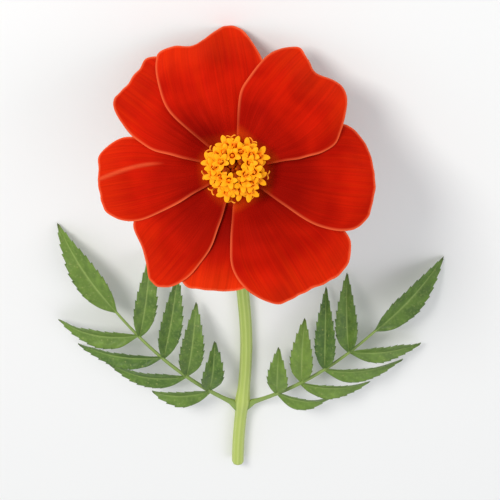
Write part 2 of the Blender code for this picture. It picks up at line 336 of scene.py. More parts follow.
ROUTE = stem_route()
HEAD_ORIGIN = packed_head_origin()
DESIGN_SHIFT = HEAD_ORIGIN - ROUTE[-1] - HEAD_AXES[2] * (INVOLUCRE_LENGTH + TOUCH_GAP)


def from_head(points):
    """Points of the head's frame in the row frame."""
    return points @ HEAD_AXES + HEAD_ORIGIN


def turned(points, angle):
    """Points turned about Z."""
    x = points[..., 0] * math.cos(angle) - points[..., 1] * math.sin(angle)
    y = points[..., 0] * math.sin(angle) + points[..., 1] * math.cos(angle)
    return np.stack([x, y, points[..., 2]], axis=-1)


def above_surface(points, least):
    """The points, with none lower than least."""
    points[..., 2] = np.maximum(points[..., 2], least)
    return points


# Making pieces


class Shape:
    """The mesh of one piece, gathered part by part, with values at its points for its material."""

    def __init__(self):
        self.points = []
        self.faces = []
        self.values = {}
        self.count = 0

    def add(self, points, faces, values):
        self.points.append(points)
        self.faces += [[corner + self.count for corner in face] for face in faces]
        for name, value in values.items():
            self.values.setdefault(name, []).append((self.count, value))
        self.count += len(points)

    def add_tube(self, rings, **values):
        """A tube through rings of points, with both its ends filled."""
        rows, columns = rings.shape[:2]
        faces = grid_faces(rows, columns, closed=True)
        foot, top = rows * columns, rows * columns + 1
        last = foot - columns
        for column in range(columns):
            after = (column + 1) % columns
            faces.append([foot, after, column])
            faces.append([top, last + column, last + after])
        ends = [rings[0].mean(axis=0), rings[-1].mean(axis=0)]
        for name, value in values.items():
            value = spread(value, rows, columns)
            values[name] = np.append(value, [value[0], value[last]])
        self.add(np.vstack([rings.reshape(-1, 3), ends]), faces, values)

    def add_sheet(self, top, bottom, **values):
        """A thin sheet with two faces and a closed edge. 'under' is 1 on its lower face."""
        rows, columns = top.shape[:2]
        size = rows * columns
        upper = grid_faces(rows, columns)
        lower = [[corner + size for corner in reversed(face)] for face in upper]
        edge = border(rows, columns)
        rim = []
        for here, after in zip(edge, edge[1:] + edge[:1]):
            rim.append([here, here + size, after + size, after])
        doubled = {name: np.tile(spread(value, rows, columns), 2) for name, value in values.items()}
        doubled["under"] = np.repeat([0, 1], size)
        self.add(np.vstack([top, bottom]).reshape(-1, 3), upper + lower + rim, doubled)

    def make(self, name, material, slot, *nodes):
        mesh = bpy.data.meshes.new(name)
        mesh.from_pydata((np.vstack(self.points) * MM).tolist(), [], self.faces)
        for value_name, parts in self.values.items():
            filled = np.zeros(self.count, np.float32)
            for start, value in parts:
                filled[start : start + len(value)] = value
            attribute = mesh.attributes.new(value_name, "FLOAT", "POINT")
            attribute.data.foreach_set("value", filled)
        mesh.shade_smooth()
        mesh.materials.append(material)
        piece = put_in_scene(name, mesh)
        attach(piece, BODY)
        if nodes:
            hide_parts(*nodes)


def spread(value, rows, columns):
    """The value at each corner of a grid."""
    return np.broadcast_to(value, (rows, columns)).reshape(-1)


def put_in_scene(name, data):
    item = bpy.data.objects.new(name, data)
    bpy.context.scene.collection.objects.link(item)
    return item


def grid_faces(rows, columns, closed=False):
    corner = np.arange(rows * columns).reshape(rows, columns)
    if closed:
        corner = np.hstack([corner, corner[:, :1]])
    quads = np.stack([corner[:-1, :-1], corner[:-1, 1:], corner[1:, 1:], corner[1:, :-1]], axis=-1)
    return quads.reshape(-1, 4).tolist()


def border(rows, columns):
    """Corners round a grid, counter-clockwise seen from the side its faces look to."""
    corner = np.arange(rows * columns).reshape(rows, columns)
    sides = (corner[0, :-1], corner[:-1, -1], corner[-1, :0:-1], corner[:0:-1, 0])
    return [int(place) for side in sides for place in side]


def around(turn):
    """Values that say where a point lies round a tube, with no seam."""
    return {"around_x": np.cos(turn), "around_y": np.sin(turn)}


def normals_of(points):
    """Unit normals of a grid, on the side its faces look to."""
    normal = np.cross(np.gradient(points, axis=1), np.gradient(points, axis=0))
    return normal / np.maximum(np.linalg.norm(normal, axis=-1, keepdims=True), 1e-9)


def tube_rings(path, radii, columns, first_side=(1, 0, 0), shape=None):
    """Rings round a path. shape multiplies the radius at each row and column."""
    turn = circle(columns)
    tangents = np.gradient(path, axis=0)
    tangents /= np.linalg.norm(tangents, axis=1, keepdims=True)
    side = np.array(first_side, float)
    rings = []
    for row, (point, tangent) in enumerate(zip(path, tangents)):
        side = side - tangent * side.dot(tangent)
        side /= np.linalg.norm(side)
        other = np.cross(tangent, side)
        directions = np.outer(np.cos(turn), side) + np.outer(np.sin(turn), other)
        reach = radii[row] * (1 if shape is None else shape[row][:, None])
        rings.append(point + directions * reach)
    return np.array(rings)


# Materials


class Coat:
    """The nodes of one material. Its colours are painted over each other, one by one.

    Inputs are numbers, outputs of other nodes, or names of values at the points of the mesh.
    """

    def __init__(self, name, color):
        self.material = bpy.data.materials.new(name)
        self.material.use_nodes = True
        self.tree = self.material.node_tree
        self.shader = self.tree.nodes["Principled BSDF"]
        self.color = color

    def node(self, kind, inputs, output=0, **settings):
        made = self.tree.nodes.new("ShaderNode" + kind)
        for setting, value in settings.items():
            setattr(made, setting, value)
        for socket, value in inputs.items():
            if isinstance(value, str):
                value = self.node("Attribute", {}, "Fac", attribute_name=value)
            if isinstance(value, bpy.types.NodeSocket):
                self.tree.links.new(value, made.inputs[socket])
            else:
                made.inputs[socket].default_value = value
        return made.outputs[output]

    def place(self):
        """The place on the piece in millimetres."""
        coordinates = self.node("TexCoord", {}, "Object")
        return self.node("Mapping", {"Vector": coordinates, "Scale": [1 / MM] * 3})

    def triple(self, x, y, z):
        return self.node("CombineXYZ", {0: x, 1: y, 2: z})

    def noise(self, vector, size, detail=2):
        return self.node("TexNoise", {"Vector": vector, "Scale": 1 / size, "Detail": detail}, "Fac")

    def grain(self, size):
        return self.noise(self.place(), size, 3)

    def cells(self, size):
        return self.node("TexVoronoi", {"Vector": self.place(), "Scale": 1 / size}, "Distance")

    def fibres(self, count, along):
        """Streaks along a round piece, from the values that around() gives its points."""
        x, y = self.times("around_x", count), self.times("around_y", count)
        return self.noise(self.triple(x, y, along), 1)

    def math(self, operation, first, second, third=0):
        return self.node("Math", {0: first, 1: second, 2: third}, operation=operation)

    def times(self, first, second):
        return self.math("MULTIPLY", first, second)

    def range(self, value, low, high, start=0, end=1):
        """The value from low to high, taken smoothly from the start to the end."""
        inputs = {0: value, 1: low, 2: high, 3: start, 4: end}
        return self.node("MapRange", inputs, interpolation_type="SMOOTHSTEP")

    def blend(self, factor, first, second, kind="MIX"):
        inputs = {0: factor}
        for socket, color in ((6, first), (7, second)):
            inputs[socket] = (*color, 1) if isinstance(color, tuple) else color
        return self.node("Mix", inputs, 2, data_type="RGBA", blend_type=kind)

    def paint(self, color, factor, *ends, strength=None):
        """Lays a colour over what is there, by a factor that range() takes between the ends."""
        if ends:
            factor = self.range(factor, *ends)
        if strength is not None:
            factor = self.times(factor, strength)
        self.color = self.blend(factor, self.color, color)

    def bump(self, height, distance, below=None):
        """Small relief on the surface, distance in millimetres."""
        inputs = {"Height": height, "Distance": distance * MM}
        if below is not None:
            inputs["Normal"] = below
        return self.node("Bump", inputs)

    def finish(self, normal, grain, smoothest, roughest, specular, sheen=0):
        """Joins all to the shader, with a roughness that follows the grain."""
        roughness = self.range(grain, 0.2, 0.8, smoothest, roughest)
        joined = {"Base Color": self.color, "Roughness": roughness, "Normal": normal}
        for socket, value in joined.items():
            self.tree.links.new(value, self.shader.inputs[socket])
        self.shader.inputs["Specular IOR Level"].default_value = specular
        self.shader.inputs["Sheen Weight"].default_value = sheen
        return self.material


PETAL_RED = (0.53, 0.0085, 0.001)
PETAL_DEEP = (0.39, 0.0045, 0.0006)
PETAL_BLOTCH_AND_SHADE = (0.19, 0.0015, 0.0004)
PETAL_ORANGE = (0.66, 0.024, 0.0015)
PETAL_BRIGHT = (0.76, 0.032, 0.003)
PETAL_FOOT = (0.62, 0.06, 0.003)
PETAL_PALE_EDGE_AND_HIGHLIGHT = (0.8, 0.12, 0.04)
PETAL_UNDER = (0.7, 0.085, 0.01)
PETAL_UNDER_VEIN = (0.6, 0.15, 0.018)
PETAL_SHEEN = (1, 0.07, 0.015)
BLOTCH_AND_SHADE_REACH = 0.62


def petal_streaks(coat, count, detail):
    """Streaks that fan out along a petal's veins."""
    return coat.noise(coat.triple(coat.times("fan", count), "along", "seed"), 1, detail)


def paint_petal_face(coat, streaks):
    """Red with lighter streaks and clouds, a dark foot (pigment and painted shade) and a brighter tip (paler
    tone and painted highlight).
    """
    clouds = coat.noise(coat.triple("across", coat.times("along", 20), "seed"), 7)
    coat.paint(PETAL_RED, clouds, 0.3, 0.7)
    streaked = coat.times(coat.range(streaks, 0.45, 0.75), coat.range("along", 0.2, 0.9))
    coat.paint(PETAL_ORANGE, streaked, strength=0.35)
    beyond = coat.math("SUBTRACT", "along", coat.times("blotch", BLOTCH_AND_SHADE_REACH))
    flame = coat.math("MULTIPLY_ADD", streaks, -0.3, beyond)
    # Dark foot: partly the petal's own darker pigment, partly painted shade near the disc and under
    # neighbouring edges.
    coat.paint(PETAL_BLOTCH_AND_SHADE, flame, -0.45, 0.12, 1, 0, strength="dark")
    # Brighter tip: partly the petal's own paler tone, partly a painted highlight.
    coat.paint(PETAL_BRIGHT, "along", 0.6, 1, 0, 0.6, strength="glow")
    lit = coat.math("MULTIPLY_ADD", "dark", -0.8, 1)
    coat.paint(PETAL_FOOT, "along", 0, 0.1, 0.8, 0, strength=lit)


def paint_petal_lines(coat, streaks):
    """Pale margin line (paler edge and painted highlight), fainter at the foot; a painted highlight on the
    fold.
    """
    wander = coat.math("MULTIPLY_ADD", streaks, 0.3, "margin")
    line = coat.range(wander, 0.12, 0.7, 0.88, 0)
    line = coat.times(line, coat.range("along", 0.04, 0.42, 0.35, 1))
    # The margin line is partly the petal's paler edge and partly a painted highlight; the fold line is a
    # painted highlight.
    coat.paint(PETAL_PALE_EDGE_AND_HIGHLIGHT, coat.math("MAXIMUM", line, coat.times("fold", 0.55)))


def petal_material():
    """Velvety red, deep at the foot by pigment and painted shade, streaked along veins, with a pale margin.
    """
    coat = Coat("petal_velvet", PETAL_DEEP)
    streaks = petal_streaks(coat, 8, 3)
    fine = petal_streaks(coat, 36, 2)
    paint_petal_face(coat, streaks)
    shade = coat.range(fine, 0.25, 0.75, 0.9, 1.08)
    coat.color = coat.blend(1, coat.color, coat.triple(shade, shade, shade), "MULTIPLY")
    paint_petal_lines(coat, streaks)
    back = coat.blend(coat.range(fine, 0.35, 0.65), PETAL_UNDER, PETAL_UNDER_VEIN)
    back = coat.blend(coat.range("along", 0.05, 0.7, 0, 0.7), back, PETAL_RED)
    coat.paint(back, "under")
    normal = coat.bump(coat.cells(0.16), 0.012, coat.bump(fine, 0.05))
    coat.shader.inputs["Sheen Roughness"].default_value = 0.4
    coat.shader.inputs["Sheen Tint"].default_value = (*PETAL_SHEEN, 1)
    return coat.finish(normal, streaks, 0.62, 0.78, specular=0.02, sheen=0.12)


FLORET_GOLD = (1, 0.33, 0.003)
FLORET_ORANGE = (0.98, 0.25, 0.003)
FLORET_TUBE = (1, 0.22, 0.004)
FLORET_TIP = (1, 0.385, 0.004)
ANTHER_BROWN = (0.85, 0.16, 0.003)
POLLEN = (1, 0.36, 0.004)
STYLE_PALE = (1, 0.36, 0.02)
BUD_BROWN = (0.3, 0.022, 0.001)
BUD_ORANGE = (0.92, 0.22, 0.002)


def open_floret_material():
    """Golden lobes on an orange tube, brown anthers dusted with pollen, and pale styles."""
    coat = Coat("open_floret_gold", FLORET_TUBE)
    grain = coat.grain(0.35)
    coat.paint(FLORET_ORANGE, "height", 0.3, 0.85)
    coat.paint(FLORET_GOLD, "height", 0.75, 0.95)
    coat.paint(FLORET_TIP, coat.math("MULTIPLY_ADD", grain, 0.12, "height"), 0.98, 1.08)
    anther = coat.blend(coat.range(grain, 0.42, 0.62), ANTHER_BROWN, POLLEN)
    coat.paint(anther, "organ", 0.4, 0.6)
    coat.paint(STYLE_PALE, "organ", 1.4, 1.6)
    return coat.finish(coat.bump(grain, 0.04), grain, 0.45, 0.65, specular=0.12)


def closed_floret_material():
    """Unopened florets: orange below, reddish brown on their ribbed tips."""
    coat = Coat("closed_floret_brown", BUD_ORANGE)
    grain = coat.grain(0.3)
    coat.paint(BUD_BROWN, "height", 0.82, 1)
    coat.paint(BUD_BROWN, "groove", strength=0.5)
    coat.paint(BUD_ORANGE, grain, 0.5, 0.8, 0, 0.4)
    return coat.finish(coat.bump(grain, 0.03), grain, 0.5, 0.65, specular=0.12)


CUP_GREEN = (0.135, 0.225, 0.045)
CUP_LIGHT = (0.3, 0.38, 0.085)
CUP_GLAND = (0.075, 0.075, 0.018)
CUP_RIM = (0.42, 0.42, 0.09)


def cup_material():
    """Green bracts with pale ribs, dark streaks of oil glands and yellowish tips."""
    coat = Coat("involucre_green", CUP_GREEN)
    grain = coat.grain(0.8)
    fibres = coat.fibres(26, "height")
    coat.paint(CUP_LIGHT, fibres, 0.3, 0.7)
    coat.paint(CUP_LIGHT, "rib", strength=0.6)
    coat.paint(CUP_RIM, "height", 0.62, 1, 0, 0.75)
    coat.paint(CUP_GLAND, "gland", strength=0.8)
    coat.paint(CUP_GREEN, grain, 0.35, 0.75, 0, 0.25)
    coat.paint(STEM_GREEN, "height", 0, 0.16, 1, 0)
    normal = coat.bump(grain, 0.04, coat.bump(fibres, 0.08))
    return coat.finish(normal, grain, 0.4, 0.56, specular=0.4)


STEM_PALE = (0.47, 0.57, 0.13)
STEM_GREEN = (0.245, 0.36, 0.065)
STEM_RIDGE = (0.56, 0.65, 0.21)
STEM_PITH = (0.64, 0.68, 0.4)


def stem_material():
    """Pale green at the cut end, deeper under the head, with light ridges and fine fibres."""
    coat = Coat("stem_green", STEM_PALE)
    grain = coat.grain(1.2)
    fibres = coat.fibres(30, "along")
    coat.paint(STEM_GREEN, "along", 0.1, 1)
    coat.paint(STEM_GREEN, fibres, 0.35, 0.8, 0, 0.4)
    coat.paint(STEM_RIDGE, "ridge", strength=0.5)
    coat.paint(STEM_PALE, grain, 0.5, 0.8, 0, 0.3)
    coat.paint(STEM_PITH, "pith")
    normal = coat.bump(grain, 0.03, coat.bump(fibres, 0.05))
    return coat.finish(normal, grain, 0.42, 0.58, specular=0.4)


LEAF_GREEN = (0.115, 0.215, 0.028)
LEAF_DARK = (0.045, 0.105, 0.014)
LEAF_FRESH = (0.27, 0.4, 0.055)
LEAF_MIDRIB = (0.3, 0.41, 0.11)
LEAF_BACK = (0.2, 0.29, 0.12)
LEAF_TIP = (0.06, 0.055, 0.02)
LEAF_GLAND = (0.3, 0.33, 0.1)


def leaf_material():
    """Green blades with paler ribs, dots of oil glands, dark tips and a greyish back."""
    coat = Coat("leaf_green", LEAF_DARK)
    clouds = coat.grain(2.6)
    grain = coat.grain(0.45)
    coat.paint(LEAF_GREEN, clouds, 0.3, 0.72)
    coat.paint(LEAF_FRESH, "tint", strength=0.5)
    coat.paint(LEAF_MIDRIB, grain, 0.45, 0.8, 0, 0.4)
    coat.paint(LEAF_DARK, "vein", strength=0.35)
    coat.paint(LEAF_GLAND, coat.cells(0.9), 0.1, 0.2, 0.6, 0)
    coat.paint(LEAF_MIDRIB, "midrib", strength=0.75)
    coat.paint(LEAF_TIP, "place", 0.93, 1, 0, 0.7)
    coat.paint(coat.blend(coat.times("midrib", 0.8), LEAF_BACK, LEAF_MIDRIB), "under")
    normal = coat.bump(grain, 0.05, coat.bump(clouds, 0.12))
    return coat.finish(normal, grain, 0.4, 0.55, specular=0.4)


# Ray petals


def petal_droop(angle):
    """How far the petals' ends hang below the rim at an angle round the head."""
    rest = (0.5 + 0.5 * np.cos(angle - REST_SIDE)) ** 2
    ripple = 0.35 * np.sin(3 * angle + 0.7) + 0.25 * np.sin(5 * angle)
    return DROOP + DROOP_AT_REST * rest + ripple


def shared_ruffle(angle, radius, out):
    """Folds that run through all the petals together, so that they stay nested."""
    x, y = np.cos(angle), np.sin(angle)
    swell = SHARED_SWELL * ripples(SWELL_SEED, radius * x, radius * y, 13)
    ring = 13 + 0.2 * radius
    ruffle = SHARED_RUFFLE * ripples(RUFFLE_SEED, ring * x, ring * y, 5.5, 11)
    return swell * smooth(out / 0.4) + ruffle * smooth((out - 0.3) / 0.6)


def blade_height(petal, across, along):
    """Height of the middle surface over the foot, beside and along the petal's axis."""
    radius = np.hypot(across, along)
    turn = np.arctan2(-across, along)
    angle = math.radians(petal.angle) + turn
    out = np.clip((radius - BLADE_START) / (PETAL_REACH - BLADE_START), 0, 1.2)
    layer = PRESSED * LAYER * (petal.lean * turn / LAYER_PITCH + LIFT * petal.lift)
    parted = layer * smooth((radius - PARTING_START) / PARTING_RISE)
    crown = CROWN * np.sin(math.pi * clamp(out))
    droop = petal_droop(angle) * out * np.minimum(out, 1)
    return crown - droop + parted + shared_ruffle(angle, radius, out)


def fold_line(petal, side, blade):
    """1 along the fold that runs from the middle of a creased petal to its tip."""
    started = smooth((blade - 0.35) / 0.2)
    return (petal.crease > 0) * bump_at(side, 0.58 - 0.385 * blade, 0.028) * started


def petal_relief(petal, number, side, blade, across, along):
    """What a blade has of its own: fanned veins, pleats, a crease and curled edges."""
    grown = smooth((blade - 0.03) / 0.3)
    margin = smooth((np.abs(side) - 0.72) / 0.28)
    inner = 1 - np.abs(side) ** 3
    veins = VEIN_RELIEF * np.cos(math.pi * 9 * side + 0.8 * np.sin(5 * side + number)) * grown
    pleats = PLEAT_RELIEF * np.sin(math.pi * 1.6 * side + 1.7 * number) * grown * inner
    cup = CUP * (side * side - 0.35) * np.sin(CIRCLE * blade) * smooth(4 * blade)
    swell = SWELL_RELIEF * ripples(number, across, along, 6.5) * grown * inner
    crease = petal.crease * fold_line(petal, side, blade)
    bulge = BULGE * (petal.lean == 0 and petal.lift < 0) * (1 - side * side) * grown
    laid_over = side * petal.lean < 0 if petal.lean else petal.lift > 0
    curl = -CURL * margin * laid_over * smooth((blade - 0.1) / 0.3)
    tip = TIP_RELIEF * ripples(TIP_RELIEF_SEED + number, across, along, 9)
    tip = tip * smooth((blade - 0.8) / 0.2) * inner
    return veins * (1 - margin) + pleats + cup + swell + crease + bulge + curl + tip


def petal_places():
    """Sides (-1 to 1) and places (0 to 1) of a petal's grid, closer together at its margins."""
    side = rounded(np.linspace(-1, 1, PETAL_COLUMNS), 0.45)
    foot_rows, bend_rows, blade_rows = PETAL_ROWS
    foot = np.linspace(0, CLAW_SHARE, foot_rows, endpoint=False)
    bend = np.linspace(CLAW_SHARE, BEND_SHARE, bend_rows, endpoint=False)
    blade = mix(BEND_SHARE, 1, rounded(np.linspace(0, 1, blade_rows), 0.6))
    return np.meshgrid(side, np.concatenate([foot, bend, blade]))


def half_width(petal, side, along):
    """Half width on the given side: it fans out from the flower's middle, then stays."""
    share = smooth(0.5 + 1.5 * side)
    fanned = along * np.tan(np.radians(mix(petal.fan_left, petal.fan_right, share)))
    widest = mix(petal.left, petal.right, share)
    corner = 1 + (fanned / widest) ** CORNER_POWER
    return fanned / corner ** (1 / CORNER_POWER)


def petal_foot(place, bend):
    """Where the foot runs: up through the cup, and outwards in a bend over its rim."""
    radius = BLADE_START - CLAW_RADIUS
    turn = math.pi / 2 * bend
    height = mix(-CLAW_DEPTH, RIM_CLEARANCE - radius, clamp(place / CLAW_SHARE))
    return CLAW_RADIUS + radius * (1 - np.cos(turn)), height + radius * np.sin(turn)


def petal_tip(petal, number, side):
    """How far the tip reaches on the given side."""
    reach = through(np.stack([np.linspace(-1, 1, len(petal.tip)), petal.tip], axis=-1), 121)
    wave = EDGE_WAVE * ripples(TIP_SEED + number, 9 * side, 0, 3.2)
    return np.interp(side, reach[:, 0], reach[:, 1]) + wave - CORNER_ROUNDING * np.abs(side) ** 14


def petal_middle(petal, number, side, place):
    """Middle surface before the petal is turned to its place: +Y along it, +X to its right."""
    bend = clamp((place - CLAW_SHARE) / (BEND_SHARE - CLAW_SHARE))
    blade = clamp((place - BEND_SHARE) / (1 - BEND_SHARE))
    foot_along, foot_height = petal_foot(place, bend)
    blade_along = mix(BLADE_START, petal_tip(petal, number, side), blade)
    along = np.where(blade > 0, blade_along, foot_along)
    full = half_width(petal, side, along) * (1 - TIP_NARROWING * blade**8)
    wave = EDGE_WAVE * ripples(EDGE_SEED + number, np.sign(side) * 3, blade * 18, 7)
    full = full + wave * smooth(3 * blade)
    foot = mix(CLAW_HALF_WIDTH, CLAW_TOP_HALF_WIDTH, clamp(place / CLAW_SHARE))
    across = side * mix(foot, full, smooth(bend / FLARE_SHARE))
    height = foot_height + blade_height(petal, across, along)
    height = height + petal_relief(petal, number, side, blade, across, along)
    return np.stack([across, along, height], axis=-1), blade


def margin_distance(points):
    """Distance of each point of a grid to the grid's edge."""
    flat = points.reshape(-1, 3)
    edge = flat[border(*points.shape[:2])]
    nearest = [np.linalg.norm(edge - point, axis=1).min() for point in flat]
    return np.array(nearest).reshape(points.shape[:2])


def build_petal(number, petal, material):
    side, place = petal_places()
    middle, blade = petal_middle(petal, number, side, place)
    margin = margin_distance(middle)
    thickness = mix(MARGIN_THICKNESS, BLADE_THICKNESS, smooth(margin / MARGIN_WIDTH))
    half = normals_of(middle) * thickness[..., None] / 2
    angle = math.radians(petal.angle - 90)
    shape = Shape()
    upper = above_surface(from_head(turned(middle + half, angle)), LOWEST_UPPER_FACE)
    lower = above_surface(from_head(turned(middle - half, angle)), LOWEST_LOWER_FACE)
    values = {"along": blade, "across": middle[..., 0], "fan": side, "margin": margin}
    values["fold"] = fold_line(petal, side, blade)
    values["dark"] = clamp((0.2 + 0.55 * petal.blotch) * (1 + petal.skew * side))
    own = {"seed": 3.7 * number, "blotch": petal.blotch, "glow": petal.glow}
    shape.add_sheet(upper, lower, **values, **own)
    shape.make(f"ray_petal_{number}", material, "petal", f"petal_{number}")


# Disc florets


def floret_top(share):
    """Height of a floret's mouth at a share of the disc's radius: a ring round a hollow."""
    if share < HIGHEST_PLACE:
        return mix(CENTRE_TOP, INNER_TOP, smooth(share / HIGHEST_PLACE))
    return mix(INNER_TOP, OUTER_TOP, smooth((share - HIGHEST_PLACE) / (1 - HIGHEST_PLACE)))


def floret_spine(share, angle, top, end, rows, swellings):
    """Heights, centre points and radii of a floret's rings, from its foot in the cup to the end.

    It leans outwards as it rises. The swellings are its widths at the foot, the cup's rim, the
    tube's top, the throat and the mouth.
    """
    foot = TOUCH_GAP - RECEPTACLE_DEPTH + FOOT_SLOPE * share
    heights = np.concatenate([np.linspace(foot, 0, 3, endpoint=False), np.linspace(0, end, rows)])
    flare = clamp((heights - FLARE_START) / (OUTER_TOP - FLARE_START)) ** 1.4
    aside = share * mix(BASE_SPREAD, TOP_SPREAD, flare)
    path = np.stack([aside * math.cos(angle), aside * math.sin(angle), heights], axis=-1)
    stations = (foot, 0, TUBE_HEIGHT, mix(TUBE_HEIGHT, top, 0.55), top)
    fine = through(np.stack([stations, swellings], axis=-1), 60)
    width = np.interp(heights, fine[:, 0], np.clip(fine[:, 1], 0, 1.2))
    return heights, path, mix(FLORET_FOOT_RADIUS, FLORET_MOUTH_RADIUS, width)


def end_axes(path):
    """The direction in which a path ends, and two directions square to it."""
    ahead = path[-1] - path[-3]
    ahead = ahead / np.linalg.norm(ahead)
    side = np.cross(ahead, (0.3, 1, 0.2))
    side = side / np.linalg.norm(side)
    return ahead, side, np.cross(ahead, side)


def lobe_growth(turn, draws):
    """How far the mouth's edge grows out, all round it, into five uneven lobes."""
    phase = (LOBES * turn / CIRCLE + draws.uniform(0, 1)) % 1
    peak = 1 - np.abs(2 * phase - 1)
    return rounded(peak, 0.6) * (1 + 0.18 * np.sin(turn + draws.uniform(0, 6)))


def inner_rings(rings, path, ahead):
    """Rings back down inside the lobes and the upper tube, one wall further in."""
    inside = []
    for row in np.linspace(len(rings) - 1, len(path) - 4, 12).round().astype(int):
        inward = path[min(row, len(path) - 1)] - rings[row]
        inward -= np.outer(inward @ ahead, ahead)
        inward /= np.linalg.norm(inward, axis=1, keepdims=True)
        above = 0.02 if row > len(path) else 0
        inside.append(rings[row] + inward * COROLLA_WALL + ahead * above)
    return inside


def corolla(path, radii, size, draws):
    """The rings of a floret's tube and lobes, outside and then inside, and their heights."""
    turn = circle(LOBE_COLUMNS * LOBES)
    tube = tube_rings(path, radii, len(turn))
    ahead = end_axes(path)[0]
    outward = tube[-1] - path[-1]
    outward = outward / np.linalg.norm(outward, axis=1, keepdims=True)
    lobe = lobe_growth(turn, draws)[:, None]
    rings = list(tube)
    for step in np.linspace(0.15, 1, LOBE_ROWS):
        reach = size * (0.2 + 0.74 * lobe) * step**1.5
        rise = (0.05 + 0.4 * lobe) * (1.5 * step - 0.5 * step**2)
        rings.append(tube[-1] + outward * reach + ahead * rise)
    inside = inner_rings(rings, path, ahead)
    stretches = ((0, 0.96, len(tube)), (0.97, 1.12, LOBE_ROWS), (1.12, 0.7, len(inside)))
    heights = np.concatenate([np.linspace(*stretch) for stretch in stretches])
    return np.array(rings + inside), heights[:, None]


def add_anthers(shape, foot, axes, length, draws):
    """The joined anthers: a narrow five-ribbed column that ends in five points."""
    ahead, side, _ = axes
    steps = np.linspace(0, 1, 14)
    path = foot + np.outer(steps * length, ahead)
    radii = ANTHER_RADIUS * np.sin(math.pi * clamp(0.18 + 0.8 * steps)) ** 0.5
    turn = circle(20)
    ribs = 1 + np.outer(0.06 + 0.1 * steps, np.cos(LOBES * turn + draws.uniform(0, 6)))
    rings = tube_rings(path, radii, len(turn), side, ribs)
    shape.add_tube(from_head(rings), organ=ANTHER, height=1)


def add_style(shape, foot, ahead, apart, draws, length, arm, thickness):
    """A style whose two arms curl away from each other."""
    for hand in (-1, 1):
        reach = arm * draws.uniform(0.85, 1.15)
        steps = [
            (0, 0),
            (length * 0.6, 0.03),
            (length + 0.25 * reach, 0.3 * reach),
            (length + 0.5 * reach, 0.75 * reach),
            (length + 0.35 * reach, 1.1 * reach),
        ]
        path = through([foot + ahead * rise + apart * (hand * aside) for rise, aside in steps], 18)
        radii = thickness * np.linspace(1, 0.7, 18)
        radii[-1] *= 0.4
        shape.add_tube(from_head(tube_rings(path, radii, 8, ahead)), organ=STYLE)


def open_floret(index, share, angle, top):
    draws = random.Random(FLORET_SEED + index)
    swellings = (0, 0.25, 0.42, 0.85, 1.05)
    throat = top - THROAT_DEPTH
    _, path, radii = floret_spine(share, angle, top, end=throat, rows=17, swellings=swellings)
    rings, heights = corolla(path, radii, mix(1, 1.3, share**3), draws)
    shape = Shape()
    shape.add_tube(from_head(rings), height=heights)
    axes = end_axes(path)
    ahead, side, other = axes
    has_style = share > 0.62 or draws.random() < 0.35
    length = 1.25 if has_style else 0.85
    foot = path[-1] - ahead * THROAT_DEPTH
    add_anthers(shape, foot, axes, length, draws)
    if has_style:
        turn = draws.uniform(0, math.pi)
        apart = side * math.cos(turn) + other * math.sin(turn)
        tip = foot + ahead * (length - 0.25)
        add_style(shape, tip, ahead, apart, draws, length=0.45, arm=0.42, thickness=0.06)
    return shape


def grooved_rings(path, radii, rise, index, columns, depth):
    """Rings of an unopened floret, grooved towards its tip, and where the grooves are."""
    groove = 1 - np.abs(np.sin(LOBES * circle(columns) / 2 + index)) ** 0.6
    grooves = np.outer(smooth((rise - GROOVE_START) / 0.4), groove)
    return tube_rings(path, radii, columns, shape=1 - depth * grooves), grooves


def closed_floret(index, share, angle, top):
    swellings = (0, 0.25, 0.6, 1.15, 0.35)
    heights, path, radii = floret_spine(share, angle, top, end=top, rows=30, swellings=swellings)
    rise = clamp(heights / top)
    radii = radii * mix(1, np.sqrt(clamp(1 - rise**14)) + 0.12, rise**4)
    rings, grooves = grooved_rings(path, radii, rise, index, columns=40, depth=0.24)
    shape = Shape()
    shape.add_tube(from_head(rings), height=rise[:, None], groove=grooves)
    return shape


def build_young_florets(material):
    """The smallest unopened florets, between the others in the middle of the disc."""
    shape = Shape()
    rise = np.linspace(0, 1, 24)
    aside = mix(BASE_SPREAD / TOP_SPREAD, 1, rise**1.4)
    swelling = mix(0.5, 1, smooth(rise / 0.8)) * np.sqrt(clamp(1.03 - rise**12))
    for index, (x, y, width) in enumerate(YOUNG_FLORETS):
        path = np.stack([x * aside, y * aside, YOUNG_TOP * rise], axis=-1)
        rings, grooves = grooved_rings(path, width * swelling, rise, index, columns=30, depth=0.2)
        shape.add_tube(from_head(rings), height=rise[:, None], groove=grooves)
    shape.make("young_florets", material, "closed_floret")


def build_ray_styles(material):
    """The forked style that each ray petal has at its foot, beside the disc."""
    up = np.array([0, 0, 1])
    for number, petal in enumerate(PETALS, start=1):
        draws = random.Random(STYLE_SEED + number)
        angle = math.radians(petal.angle + draws.uniform(-7, 7))
        outward = np.array([math.cos(angle), math.sin(angle), 0])
        top = draws.uniform(3.2, 3.9)
        steps = [(3.3, -1.5), (3.45, 0.3), (3.9, 1.4), (4.75, 0.72 * top), (5.3, top)]
        path = through([outward * radius + up * height for radius, height in steps], 24)
        rings = tube_rings(path, np.full(24, RAY_STYLE_RADIUS), 10)
        shape = Shape()
        shape.add_tube(from_head(rings), height=1, organ=STYLE)
        apart = np.array([-math.sin(angle), math.cos(angle), draws.uniform(-0.3, 0.3)])
        ahead = outward * 0.8 + up * 0.6
        add_style(shape, path[-1], ahead, apart, draws, length=0, arm=0.75, thickness=0.14)
        shape.make(f"ray_style_{number}", material, "open_floret")


